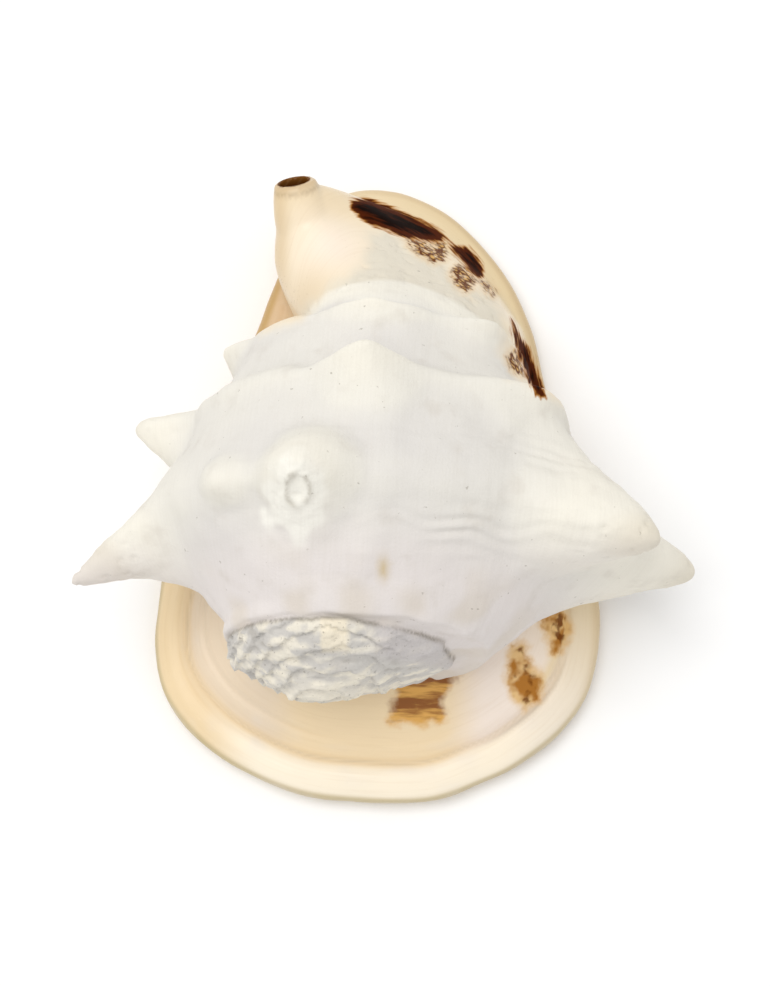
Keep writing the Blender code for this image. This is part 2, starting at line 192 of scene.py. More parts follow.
for turn in range(SPIRE_TURNS):
    u, v = grid(300, 40)
    angle = pi - 2 * pi * (turn + u)
    growth = np.exp(SPIRE_GROWTH * angle)
    radius, depth = np.moveaxis(through(SPIRE_PROFILE, v), -1, 0)
    knob = np.exp(-((v - KNOB_PLACE) / KNOB_HALF_WIDTH) ** 2)
    knob *= np.clip(np.cos(SPIRE_KNOBS * angle), 0, 1) ** 2
    radius = growth * (radius + SPIRE_KNOB_HEIGHT * knob)
    lean = np.clip(1 - growth * depth / LEAN_DEPTH, 0, 1)
    ribbon = on_coil(angle, radius, APEX_HEIGHT - growth * depth) + SPIRE_OFFSET
    ribbon += lean[..., None] * SPIRE_LEAN
    solids.append(closed_solid("spire_turn", ribbon))

# ---------------------------------------------------------------------------------------------
# The shield and the outer lip: when the animal was full grown it stopped lengthening the tube and laid
# enamel round the aperture instead, a thick glossy plate whose edge is rolled back. At the rear the
# roll stands round a shallow dish; at the front the lip slopes straight up from a thin edge.
# ---------------------------------------------------------------------------------------------
# The rim from above, clockwise from the canal.
RIM = np.array([
    (-14, 113), (2, 114), (16, 109), (28, 100), (41, 84), (50, 64), (54, 46), (57.5, 30), (65, 0),
    (70.5, -24), (71, -41), (67, -59), (58, -72), (44, -83), (32, -89), (14, -95), (-10, -95), (-30, -92),
    (-50, -83), (-64, -72), (-73, -59), (-76, -44), (-75, -28), (-69, 6), (-57, 33), (-45, 61), (-36, 85),
    (-29, 100)]) * MM
SHIELD_CENTRE = np.array([-3, 0]) * MM
# Sections from the shield's middle below, round the rim and back over the top: distance in from the
# rim and height (mm).
REAR_SECTION = (
    (999, 0), (14, 0), (8, 0.3), (3.5, 1.5), (0.8, 4), (0, 7), (1.2, 10), (4, 12), (8, 12.5), (12, 11.8),
    (16, 13.3), (24, 18), (34, 24), (46, 30), (999, 34))
LIP_SECTION = (
    (999, 0), (14, 0), (8, 0.3), (3.5, 1.3), (0.8, 3.5), (0, 6), (0.6, 8.5), (2.4, 10.5), (5.5, 13),
    (9.5, 17), (14, 22.5), (21, 30), (30, 38), (42, 46), (999, 52))
LIP_BEARING = radians(33)
# How the section turns into the lip's: the cosine of the bearing from the lip where it is half way, and
# how fast it turns there.
LIP_HALF_WAY, LIP_TURN_RATE = 0.45, 1.1


def through_closed(points, t):
    """A closed curve through the points, t from 0 to 1: a cubic for each step."""
    count = len(points)
    x = (t % 1) * count
    i = x.astype(int) % count
    return cubic(points[i - 1], points[i], points[(i + 1) % count], points[(i + 2) % count],
                 (x - np.floor(x))[..., None])


def lip_share_at(bearing):
    """How far the section has turned from the rear's into the lip's: an eased cosine about the lip."""
    share = np.clip(0.5 + LIP_TURN_RATE * (np.cos(bearing - LIP_BEARING) - LIP_HALF_WAY), 0, 1)
    return share ** 2 * (3 - 2 * share)


rim = through_closed(RIM, np.arange(720) / 720)
rays = rim - SHIELD_CENTRE
reach = np.linalg.norm(rays, axis=1)
lip_share = lip_share_at(np.arctan2(rays[:, 1], rays[:, 0]))
stations = []
for (rear_in, rear_height), (lip_in, lip_height) in zip(REAR_SECTION, LIP_SECTION):
    inwards = rear_in + (lip_in - rear_in) * lip_share
    height = rear_height + (lip_height - rear_height) * lip_share
    plan = SHIELD_CENTRE + rays * np.clip(1 - inwards * MM / reach, 0.02, 1)[:, None]
    stations.append(np.column_stack([plan, height * MM]))
stations = np.stack(stations)
section = through(stations.reshape(len(stations), -1), np.linspace(0, 1, 150)).reshape(150, -1, 3)
solids.append(closed_solid("shield", section.transpose(1, 0, 2)))

# ---------------------------------------------------------------------------------------------
# The front fold and the siphonal canal: the glazed slope from the third row of horns down to the lip,
# drawn up at the left into a short tube that the animal breathed through. The tube is the edge of the
# shell rolled over on itself, so its mouth is an eye-shaped opening with a thin rim.
# ---------------------------------------------------------------------------------------------
# For each place along Y, the section's points (x, z), from the left foot over the top to the right.
FRONT_FOLD = (
    (38, ((-17, 3), (-18, 54), (-3, 86), (22, 76), (37, 45), (42, 4))),
    (57, ((-24, 3), (-26, 46), (-8, 72), (20, 64), (40, 41), (49, 5))),
    (69, ((-29, 3), (-32, 38), (-14, 60), (13, 52), (34, 34), (45, 6))),
    (81, ((-33, 3), (-36, 35), (-21, 51), (4, 44), (25, 29), (39, 6))),
    (91, ((-30, 3), (-36, 37), (-27, 49), (-7, 40), (13, 26), (30, 6))),
    (98, ((-27, 3), (-36, 40), (-30, 51), (-13, 43), (4, 26), (22, 6))),
    (104, ((-24, 3), (-33.5, 38), (-29, 46.5), (-18, 41), (-4, 25), (12, 6))),
    (107.5, ((-20, 3), (-26, 21), (-24, 27), (-18, 24), (-8, 14), (2, 5))))
# The tube and its bore: centre line and radius (mm), from inside the shell to the tip.
CANAL_TUBE = ((-22, 84, 28, 12), (-25, 90, 36, 10.8), (-28, 96.5, 43.5, 9), (-29.5, 103.5, 48.5, 7))
CANAL_BORE = ((4, 64, 6, 5), (-8, 76, 11, 5), (-19, 86, 22, 5), (-26, 93, 36, 5), (-29, 100, 46, 5.3),
              (-30.5, 108, 51, 5.6))


def round_tube(name, stations):
    """Circles of the stations' radius, square to the curve through their centres, on a steady frame."""
    curve = through(np.array(stations) * MM, np.linspace(0, 1, 60))
    centres, radius = curve[:, :3], curve[:, 3]
    ahead = np.gradient(centres, axis=0)
    ahead /= np.linalg.norm(ahead, axis=1)[:, None]
    side = np.cross(ahead, [0.0, 1.0, 0.0])
    side /= np.linalg.norm(side, axis=1)[:, None]
    up = np.cross(side, ahead)
    turn = (2 * pi * np.arange(64) / 64)[:, None, None]
    return closed_solid(name, centres + radius[:, None] * (np.cos(turn) * side + np.sin(turn) * up))


sections = np.array([[(x, y, z) for x, z in row] for y, row in FRONT_FOLD]) * MM
along = through(sections.reshape(len(sections), -1), np.linspace(0, 1, 120)).reshape(120, -1, 3)
around = through(along.transpose(1, 0, 2).reshape(sections.shape[1], -1), np.linspace(0, 1, 120))
solids.append(closed_solid("front_fold", around.reshape(120, 120, 3)))
solids.append(round_tube("canal_tube", CANAL_TUBE))

# ---------------------------------------------------------------------------------------------
# The hollows: the narrow aperture between the toothed lip and the folded columella, the last turn of
# the chamber that it opens into, and the bore of the canal. The animal lived in them.
# ---------------------------------------------------------------------------------------------
# The slit's centre line and half width at the floor (mm), from the front to the back.
APERTURE = ((-8, 78, 4), (1, 64, 5.5), (9, 44, 7), (15, 20, 8), (19, -6, 8), (21, -28, 7.5), (20, -44, 6.5),
            (17, -54, 5.5))
# Its walls: height, lean to the lip, half width as a share of the centre's, and how much further the
# flare reaches on the lip's side and on the columella's.
APERTURE_WALLS = ((-4, 0, 1.2, 12, 30), (0, 0, 1.2, 6, 19), (1.5, 0, 1.2, 3.5, 12), (4, 0.5, 1.1, 1.2, 5),
                  (8, 2, 1, 0, 1), (14, 6, 0.95, 0, 0), (21, 12, 1, 0, 0), (27, 19, 0.6, 0, 0))
LIP_TEETH = 7
LIP_TOOTH_LENGTH = 3.5 * MM
COLUMELLA_FOLDS = 10
COLUMELLA_FOLD_HEIGHT = 2 * MM
# The height at which the teeth and folds stand out most, and the reach above and below it (mm).
TEETH_HEIGHT, TEETH_REACH = 6, 9
# The slit's ends move out by this share of the columella's flare.
END_FLARE = 0.004
# The chamber: its range round the axis, its place along the profile, and its depth.
CHAMBER_FROM, CHAMBER_TO = radians(-130), radians(150)
CHAMBER_MIDDLE, CHAMBER_HALF = 0.40, 0.26
WALL = 6 * MM
CHAMBER_DEPTH = 14 * MM
# The share of its length over which the chamber narrows to its inner end.
CHAMBER_TAPER = 0.25

t = np.linspace(0, 1, 320)
x, y, half_width = np.moveaxis(through(np.array(APERTURE) * MM, t), -1, 0)
blunt = np.sqrt(1 - (2 * t - 1) ** 6)
oval = np.sqrt(1 - (2 * t - 1) ** 2)
teeth = blunt * np.clip(np.cos(2 * pi * LIP_TEETH * t), 0, 1) ** 0.8 * LIP_TOOTH_LENGTH
folds = blunt * np.clip(np.cos(2 * pi * COLUMELLA_FOLDS * t), 0, 1) * COLUMELLA_FOLD_HEIGHT
lip_side, columella_side = [], []
for height, lean, width, lip_flare, columella_flare in APERTURE_WALLS:
    centre = x + lean * MM * oval
    half = np.maximum(half_width * width * blunt, 0.3 * MM)
    toothed = np.clip(1 - abs(height - TEETH_HEIGHT) / TEETH_REACH, 0, 1)
    to_lip = centre + half + lip_flare * MM * oval - toothed * teeth
    to_columella = centre - half - columella_flare * MM * oval + toothed * folds
    stretched = y + (y - y.mean()) * END_FLARE * columella_flare
    z = np.full(len(t), height * MM)
    lip_side.append(np.column_stack([to_lip, stretched, z]))
    columella_side.append(np.column_stack([to_columella, stretched, z]))
hollows = [closed_solid("slit", np.stack(lip_side + columella_side[::-1]))]

u, v = grid(80, 150)
angle = CHAMBER_FROM + (CHAMBER_TO - CHAMBER_FROM) * v
narrowing = np.sqrt(np.clip(v / CHAMBER_TAPER, 0.02, 1))
s = CHAMBER_MIDDLE + CHAMBER_HALF * narrowing * np.cos(2 * pi * u)
depth = CHAMBER_DEPTH * (0.5 + 0.5 * narrowing * np.sin(2 * pi * u))
hollows.append(closed_solid("chamber", whorl_surface(angle, s, WALL + depth)))
hollows.append(round_tube("canal_bore", CANAL_BORE))

# ---------------------------------------------------------------------------------------------
# One skin: the shell grew as one piece, so the solids above are melted into one closed surface, their
# creases are eased, and the hollows are cut out of it.
# ---------------------------------------------------------------------------------------------
SKIN_VOXEL = 0.95 * MM
HOLLOW_VOXEL = 1.0 * MM
SKIN_EASING, HOLLOW_EASING = 9, 3


def joined(shapes):
    """One object made of all the shapes' meshes."""
    bpy.ops.object.select_all(action="DESELECT")
    for shape in shapes:
        shape.select_set(True)
    bpy.context.view_layer.objects.active = shapes[0]
    bpy.ops.object.join()
    return bpy.context.view_layer.objects.active


def settle(shape):
    """Apply the modifiers."""
    bpy.context.view_layer.update()
    mesh = bpy.data.meshes.new_from_object(shape.evaluated_get(bpy.context.evaluated_depsgraph_get()))
    shape.modifiers.clear()
    shape.data = mesh


def fused(shapes, voxel, easing):
    """The shapes' union as one skin of voxel size, smoothed this many times."""
    shape = joined(shapes)
    remesh = shape.modifiers.new("one_skin", "REMESH")
    remesh.mode = "VOXEL"
    remesh.voxel_size = voxel
    ease = shape.modifiers.new("eased", "SMOOTH")
    ease.factor = 0.5
    ease.iterations = easing
    settle(shape)
    return shape


outside_slot, hollow_slot = (bpy.data.materials.new(name) for name in ("outside", "hollow"))
shell = fused(solids, SKIN_VOXEL, SKIN_EASING)
hollow = fused(hollows, HOLLOW_VOXEL, HOLLOW_EASING)
shell.data.materials.clear()
shell.data.materials.append(outside_slot)
shell.data.materials.append(hollow_slot)
hollow.data.materials.clear()
hollow.data.materials.append(hollow_slot)
cut = shell.modifiers.new("hollows", "BOOLEAN")
cut.operation = "DIFFERENCE"
cut.solver = "MANIFOLD"
cut.material_mode = "TRANSFER"
cut.object = hollow
settle(shell)
bpy.data.objects.remove(hollow)

# ---------------------------------------------------------------------------------------------
# The relief: growth lines where the edge stood still, wrinkles and an old scar ridge that run with or
# across the coil, pits and a broken crater on the horns' tips, the spire's flaking layers, and the
# steps that the enamel left along the rim. It is fine, and it only moves the skin in or out.
# ---------------------------------------------------------------------------------------------
NOISE_CELLS = 32
FOOT_GRIND = 0.3 * MM
TRIANGLES = 192000


def places_of(mesh):
    """Its vertices' places, one row each."""
    values = np.empty(len(mesh.vertices) * 3, np.float32)
    mesh.vertices.foreach_get("co", values)
    return values.reshape(-1, 3).astype(float)


def grain(places, size, seed):
    """Random numbers from -1 to 1 at the corners of cubes of this size (mm), eased between them."""
    table = np.random.default_rng(seed).random((NOISE_CELLS,) * 3) * 2 - 1
    x = places / (size * MM)
    cell = np.floor(x).astype(int)
    f = x - cell
    f = f * f * (3 - 2 * f)
    value = np.zeros(len(places))
    for corner in range(8):
        step = np.array([corner & 1, corner >> 1 & 1, corner >> 2])
        share = np.prod(np.where(step, f, 1 - f), axis=1)
        i, j, k = ((cell + step) % NOISE_CELLS).T
        value += share * table[i, j, k]
    return value


def eased(value, low, high):
    """0 below low and 1 above high, with a smooth step between them."""
    x = np.clip((value - low) / (high - low), 0, 1)
    return x * x * (3 - 2 * x)


def spot(value, middle, half_width):
    """A bell: 1 in the middle, and 1/e at the half width from it."""
    return np.exp(-((value - middle) / half_width) ** 2)


def coil_place(places):
    """Where places lie on the coil: angle (degrees), radius and height on the ungrown profile (mm)."""
    from_axis = places - AXIS_POINT
    height, to_lip, up = from_axis @ TO_APEX, from_axis @ TO_LIP, from_axis @ DORSAL
    angle = np.arctan2(to_lip, up)
    row = APEX_HEIGHT + (height - APEX_HEIGHT) / np.exp(HEIGHT_GROWTH * GROWTH_RATE * angle)
    return np.degrees(angle), np.hypot(to_lip, up) / MM, row / MM


def shield_place(places):
    """Distance in from the rim, height above the shield's upper face (mm), bearing, and the lip's share."""
    bearings = np.arctan2(rays[:, 1], rays[:, 0])
    order = np.argsort(bearings)
    from_centre = places[:, :2] - SHIELD_CENTRE
    bearing = np.arctan2(from_centre[:, 1], from_centre[:, 0])
    edge = np.interp(bearing, bearings[order], reach[order], period=2 * pi)
    inwards = (edge - np.linalg.norm(from_centre, axis=1)) / MM
    rear = np.interp(inwards, *np.array(REAR_SECTION[5:]).T)
    lip = np.interp(inwards, *np.array(LIP_SECTION[5:]).T)
    share = lip_share_at(bearing)
    return inwards, places[:, 2] / MM - (rear + (lip - rear) * share), bearing, share


def inside(outline, plan):
    """Distance to an outline (mm): positive inside it, negative outside it."""
    corners = np.array(outline, float) * MM
    nearest = np.full(len(plan), np.inf)
    odd = np.zeros(len(plan), bool)
    for a, b in zip(corners, np.roll(corners, -1, axis=0)):
        side = b - a
        share = np.clip((plan - a) @ side / (side @ side), 0, 1)
        nearest = np.minimum(nearest, np.linalg.norm(plan - a - share[:, None] * side, axis=1))
        crosses = (a[1] > plan[:, 1]) != (b[1] > plan[:, 1])
        where = a[0] + (plan[:, 1] - a[1]) * side[0] / (side[1] if side[1] else 1e-12)
        odd ^= crosses & (plan[:, 0] < where)
    return np.where(odd, nearest, -nearest) / MM


def hollow_share(mesh):
    """1 on the vertices of faces that the hollows cut, 0 on the others."""
    slot = np.empty(len(mesh.polygons), np.int32)
    mesh.polygons.foreach_get("material_index", slot)
    size = np.empty(len(mesh.polygons), np.int32)
    mesh.polygons.foreach_get("loop_total", size)
    corner = np.empty(len(mesh.loops), np.int32)
    mesh.loops.foreach_get("vertex_index", corner)
    return (np.bincount(corner, np.repeat(slot, size), len(mesh.vertices)) > 0).astype(float)


# The slanted plan: the view from nearly above, tipped a little to the rear, in which the skin's colours
# are laid out. A point's place in it is (x, y) in mm, with the middle of the shell's height as its plane.
PLAN_RISE = radians(78)
PLAN_DISTANCE = 0.80
PLAN_HEIGHT = 50 * MM


def slanted(places):
    """Places seen from the plan's distance: across, and up along its tipped y, drawn to the plane's scale."""
    up = places[:, 1] * sin(PLAN_RISE) + (places[:, 2] - PLAN_HEIGHT) * cos(PLAN_RISE)
    near = (places[:, 2] - PLAN_HEIGHT) * sin(PLAN_RISE) - places[:, 1] * cos(PLAN_RISE)
    return np.column_stack([places[:, 0], up]) * (PLAN_DISTANCE / (PLAN_DISTANCE - near))[:, None]


# The worn chalk: the body whorl up to the glazed front fold and the lip.
WORN = (
    (-150, 48), (-40, 50), (-27.3, 53.7), (-21.6, 60.6), (-16.5, 65.4), (-10.5, 68.9), (-6.3, 72.1),
    (-4.4, 76.2), (-4.1, 80.6), (0, 81.6), (4.8, 79.4), (7.9, 76.2), (12.7, 72.4), (19.4, 71.7),
    (21.3, 66.7), (24.4, 62.9), (29.5, 62.2), (34, 61), (36.5, 57), (38.7, 49), (38.1, 44.4), (40.3, 37.5),
    (44.1, 34), (51.7, 29.2), (150, 26), (150, -150), (-150, -150))
# The height on the profile of the suture round the spire, how far from the axis it and the spire reach,
# and the crater in the top of a horn, seen from above (mm).
SUTURE_ROW, SUTURE_REACH, SPIRE_REACH = 34.5, 44, 41
CRATER = np.array([-25, -17]) * MM
# Spacings (mm): of the growth lines, the cords that run round the whorl, the wrinkles across it, the
# spire's overlapping layers down the rear, and the coats of enamel along the rim.
GROWTH_LINE, CORD, WRINKLE, LAYER, COAT = 1.7, 1.9, 3.6, 4.2, 1.5
# The rim's radius, near enough for distances along it, and where its roll is creased, in from the rim.
RIM_RADIUS, CREASE_INWARDS = 80, 12.8


def standing_out(turned, radius, row):
    """The radius as a share of the plain whorl's: more than 1 on ridges and horns."""
    plain = np.interp(row, BODY_PROFILE[::-1, 1] / MM, BODY_PROFILE[::-1, 0] / MM)
    return radius / (plain * np.exp(GROWTH_RATE * np.radians(turned)))


def flaking(places):
    """How far the spire's flakes stand up: two grains, drawn out across the spire and short down it."""
    return 0.7 * grain(places * [0.6, 2.2, 1.5], 6, 14) + 0.5 * grain(places * [0.7, 1.6, 1.5], 2.8, 15)


def suture_share(places, row, radius, above, half_width):
    """1 along the wavering groove where the last turn meets the spire, a bell of this half width (mm)."""
    groove = spot(row + 0.5 * grain(places, 6, 23), SUTURE_ROW, half_width)
    return groove * eased(SUTURE_REACH - radius, 0, 2) * eased(above, 1, 4)


places = places_of(shell.data)
normals = np.empty(len(places) * 3, np.float32)
shell.data.vertex_normals.foreach_get("vector", normals)
normals = normals.reshape(-1, 3).astype(float)
turned, radius, row = coil_place(places)
inwards, above, bearing, share = shield_place(places)
cut_share = hollow_share(shell.data)
outside = (1 - cut_share) * eased(places[:, 2], 1.5 * MM, 4 * MM)
chalk = outside * eased(above, 1.0, 3.5) * eased(inside(WORN, slanted(places)), -1.5, 1.5)
on_spire = outside * eased(row, SUTURE_ROW - 0.6, SUTURE_ROW + 1.2) * eased(above, 1, 4)
on_spire *= eased(SPIRE_REACH - 1 - radius, 0, 3)
body = chalk * (1 - on_spire)
shield_top = outside * eased(4.0 - above, 0, 3)

# The chalk: growth lines along the axis, finer cords round the whorl, and lumps worn by the sea.
round_mm = np.radians(turned) * radius
with_lines = np.column_stack([round_mm / GROWTH_LINE, row / 26, radius / 40]) * MM
with_cords = np.column_stack([round_mm / 34, row / CORD, radius / 60]) * MM
growth_lines = 0.07 * grain(with_lines, 1, 3) + 0.12 * grain(with_lines * [0.31, 1, 1], 1, 4)
cords = 0.10 * grain(with_cords, 1, 5)
lumps = 0.9 * grain(places, 17, 6) + 0.4 * grain(places, 7.5, 7) + 0.10 * grain(places, 2.6, 8)
relief = body * (growth_lines + cords + lumps)

# An old lip scar: a low ridge straight down the back, and the wrinkles that cross the growth lines.
scar = spot(turned + 0.12 * row, 5, 5) * eased(row, -36, -26) * (1 - eased(row, 22, 30))
relief += body * 0.9 * scar
wavy = row + 3.0 * grain(places, 12, 9) + 0.07 * turned
wrinkled = (spot(row, -15, 6) * spot(turned, 40, 24) + 0.8 * spot(row, 10, 6) * spot(turned, 32, 22)
            + 0.4 * spot(row, 14, 5) * spot(turned, -35, 16))
relief += body * wrinkled * 0.6 * np.sin(2 * pi * wavy / WRINKLE) * (0.5 + 0.7 * grain(places, 8, 10))

# Worn tips: the farther a horn stands out of the whorl, the more it is pitted.
stands_out = standing_out(turned, radius, row)
tips = body * eased(stands_out, 1.16, 1.34)
pits = eased(grain(places, 2.2, 11), 0.25, 0.75)
relief -= tips * (0.55 * pits + 0.25 * np.abs(grain(places, 4, 12)))
from_crater = np.linalg.norm(places[:, :2] - CRATER, axis=1) / MM
crater = body * (spot(from_crater, 3.6, 1.0) * 0.5 - (1 - eased(from_crater, 1.6, 3.4)) * 0.9)
broken = body * (1 - eased(from_crater, 6, 11)) * (row > -25)
relief += crater - broken * 0.45 * np.abs(grain(places, 2.4, 13))

# The spire's layers flake away in terraces.
terrace = np.floor(flaking(places) * 4) / 4
bowed = places[:, 1] / MM * 0.9 + 0.012 * (places[:, 0] / MM + 16) ** 2
shingle = ((bowed + 1.5 * grain(places, 6, 22)) / LAYER) % 1
smooth_end = 1 - 0.8 * eased(places[:, 0], -4 * MM, 10 * MM)
relief += on_spire * smooth_end * (0.9 * terrace + 1.5 * (1 - shingle) + 0.35 * grain(places, 1.8, 16))
relief -= 1.1 * outside * suture_share(places, row, radius, above, 0.8)

# The enamel: soft swellings, with steps along the rim where each coat ended.
rim_lines = np.column_stack([inwards / COAT, bearing * RIM_RADIUS / 45, above / 30]) * MM
relief += shield_top * (0.05 * grain(rim_lines, 1, 17) + 0.07 * grain(rim_lines * [0.4, 1, 1], 1, 18))
relief += shield_top * 0.28 * grain(places, 11, 19)
# The rear's edge is rolled: a swelling, then a crease, then a lower swelling.
rolled = shield_top * eased(-np.sin(bearing), -0.35, 0.1)
relief += rolled * (0.5 * spot(inwards, 9.5, 3) + 0.35 * spot(inwards, 17, 1.4))
relief -= rolled * 1.1 * spot(inwards, CREASE_INWARDS, 1.0)
relief -= rolled * 0.5 * spot(inwards, 19.5, 0.9) * eased(-places[:, 0], 10 * MM, 25 * MM)
front = outside * (1 - chalk) * (1 - shield_top)
relief += front * (0.25 * grain(places, 14, 20) + 0.08 * grain(places, 4, 21))

places += normals * (relief * MM)[:, None]
places[places[:, 2] < FOOT_GRIND, 2] = np.minimum(places[places[:, 2] < FOOT_GRIND, 2], 0)
shell.data.vertices.foreach_set("co", places.astype(np.float32).ravel())
count = sum(len(face.vertices) - 2 for face in shell.data.polygons)
if count > TRIANGLES:
    thin = shell.modifiers.new("thinned", "DECIMATE")
    thin.ratio = TRIANGLES / count
    settle(shell)

# ---------------------------------------------------------------------------------------------
# The colours, mostly those that lie in the shell itself: chalk over the worn whorl, peach enamel on the front
# fold and the dish, a tan edge, and brown-black patches that the mantle's glands laid down along the lip.
# Painted light lies over them too: highlights on the whorl's ridges and horns, and shade in its hollows, on
# its rear slope, in the rim's crease, along the rim's turned-down edge, between the spire's flakes and deep
# in the canal's bore.
# ---------------------------------------------------------------------------------------------


def linear(hex_colour):
    """sRGB hex to linear light."""
    value = np.array([int(hex_colour[i:i + 2], 16) for i in (1, 3, 5)]) / 255
    return np.where(value <= 0.04045, value / 12.92, ((value + 0.055) / 1.055) ** 2.4)


def painted(ground, hex_colour, share):
    """The ground with this share of a coat laid over it."""
    return ground + (linear(hex_colour) - ground) * np.clip(share, 0, 1)[:, None]


CHALK, CHALK_COOL_TONE_AND_SHADE, CHALK_WARM_HIGHLIGHT, CHALK_LILAC_AND_SHADE = "#EAE6DC", "#DEDAD5", "#F1ECDF", "#E5DDDA"
TIP_CREAM, STAIN_PALE, STAIN_TAN = "#E2D9C6", "#D2C4AC", "#CFB98F"
PEELED_WHITE, PEELED_EDGE = "#FBF8EE", "#A39A88"
PEACH, PEACH_DEEP, PEACH_TAN, PEACH_PINK, PEACH_SHADE = "#F5E5C9", "#ECD7B4", "#DDC49B", "#FAEBDA", "#E3CFAF"
DISH, DISH_PALE, DISH_GREY, DISH_GOLD = "#F3DCB6", "#F7E9DC", "#E3D2BC", "#F0D6A0"
ROLL, ROLL_TAN, ROLL_PALE, EDGE_KHAKI_AND_SHADE = "#F8ECD6", "#E8CEA2", "#EFE4D3", "#BFAD80"
CREASE_TAN_AND_SHADE, CREASE_SHADE_GREY = "#C9B493", "#B9AD9B"
LIP_GOLD, LIP_TAN, TAN_PALE, TAN_DARK = "#E6D0A6", "#CFB488", "#D4B893", "#BE9A5F"
SPIRE_GREY, SPIRE_CREAM, SPIRE_FLAKE_SHADE, SPIRE_LILAC = "#CFCBC5", "#F6EEDC", "#9A948A", "#CBC5C4"
PLATE_CREAM, PLATE_TAN, SUTURE_BROWN = "#F4E9D2", "#EFE3C8", "#7F776A"
UNDER, UNDER_ORANGE, TEETH_PALE = "#F5DDB6", "#EDBB84", "#F8EEDC"
BORE_BROWN_AND_SHADE, BORE_AMBER, RIM_LIGHT, RIM_LINE = "#4A2304", "#9A6426", "#CDB189", "#A08660"
# The canal's mouth: its middle, and the way it faces.
MOUTH = np.array([-29.7, 104.5, 49]) * MM
MOUTH_WAY = np.array([-0.16, 0.80, 0.58])
# The patches on the slanted plan (mm): near-black on the lip, honeycombed amber beside them, blots and a
# banded patch in the dish.
BLACK_PATCHES = (
    ((-11.4, 92), (-8.6, 92.7), (-4.8, 92.4), (0.6, 90.8), (6.3, 88), (12.7, 85.4), (16.8, 83), (20, 79.7),
     (17.5, 78.4), (13.7, 79), (6.3, 80), (1, 82), (-4.8, 84.4), (-8.6, 86.7), (-10.5, 89)),
    ((19.7, 79.4), (22.2, 77.8), (26, 77.5), (29.2, 74.3), (31.7, 70.8), (31.4, 67.3), (29.2, 67.3),
     (26.3, 69.8), (23.2, 74), (21.3, 76)),
    ((39.7, 54.6), (40.6, 54), (43.2, 48.3), (45.4, 46), (47.5, 40.5), (49.8, 34.5), (51.3, 29), (48.5, 29.5),
     (45.5, 34.3), (43.6, 39.5), (42, 44.5), (40.6, 49.2)))
COMB_PATCHES = (
    ((6.3, 80.6), (10.5, 79), (14.3, 78.4), (18.7, 78.7), (19.7, 76.2), (18.4, 73), (14.9, 72.7),
     (11.1, 74.6), (7.9, 77.5)),
    ((21.3, 69.8), (23.2, 71.4), (26, 70.5), (28.3, 67.6), (27.6, 64.1), (25.4, 63.2), (22.9, 65.1),
     (21, 67.6)),
    ((29.5, 66.7), (32.1, 66), (35.2, 62.5), (34.6, 61.6), (32.1, 63.5)),
    ((38.7, 42.5), (41.3, 44.4), (43.2, 40.6), (44.8, 36.2), (42.9, 36.8), (40.3, 38.1)))
BLOT_PATCHES = (
    ((40, -50.5), (44.1, -49.5), (45.4, -54.6), (49.5, -61), (48.6, -66.7), (44.1, -68.9), (40.6, -65.1),
     (39, -60)),
    ((50, -40.5), (54.6, -37.3), (57.5, -40.6), (58.4, -45.1), (56.2, -50.2), (53.3, -51.7), (52.4, -47.6)))
BANDED_PATCH = ((11, -50), (23.8, -50), (22.5, -59), (17.8, -65.7), (18.6, -73.7), (1.4, -73.7), (2.7, -69.2),
                (3.8, -61.9), (7.9, -58.4))

mesh = shell.data
places = places_of(mesh)
turned, radius, row = coil_place(places)
inwards, above, bearing, share = shield_place(places)
cut_share = hollow_share(mesh)
height = places[:, 2] / MM
x, y = places[:, 0] / MM, places[:, 1] / MM
outside = 1 - cut_share
under = 1 - eased(height, 1.0, 4.5)
wavering = 1.6 * grain(places, 7, 30) + 0.8 * grain(places, 3, 31)
plan = slanted(places)
chalk_mm = np.minimum(inside(WORN, plan) + wavering, (above - 2.2) * 1.5 + wavering)
chalk_mm = np.minimum(chalk_mm, height - 6)
chalk = outside * eased(chalk_mm, -3.2, 3.2)
on_spire = outside * eased(row, SUTURE_ROW - 0.8, SUTURE_ROW + 0.8)
on_spire *= eased(above, 1, 4) * eased(SPIRE_REACH - radius, 0, 2)
stands_out = standing_out(turned, radius, row)

# The glazed front fold and canal.
ground = np.tile(linear(PEACH), (len(places), 1))
for coat, amount in (
        (PEACH_PINK, 0.9 * spot(x, -18, 11) * spot(y, 80, 12)),
        (PEACH_DEEP, 0.8 * eased(y, 88, 100)),
        (PEACH_TAN, 0.75 * eased(-x, 29, 35) * eased(y, 40, 60)),
        (PEACH_TAN, 0.7 * spot(x + 0.35 * (y - 45), -24, 6) * spot(y, 52, 11)),
        (PEACH_SHADE, 0.75 * spot(x, -25, 9) * spot(y, 63, 10))):
    ground = painted(ground, coat, amount)
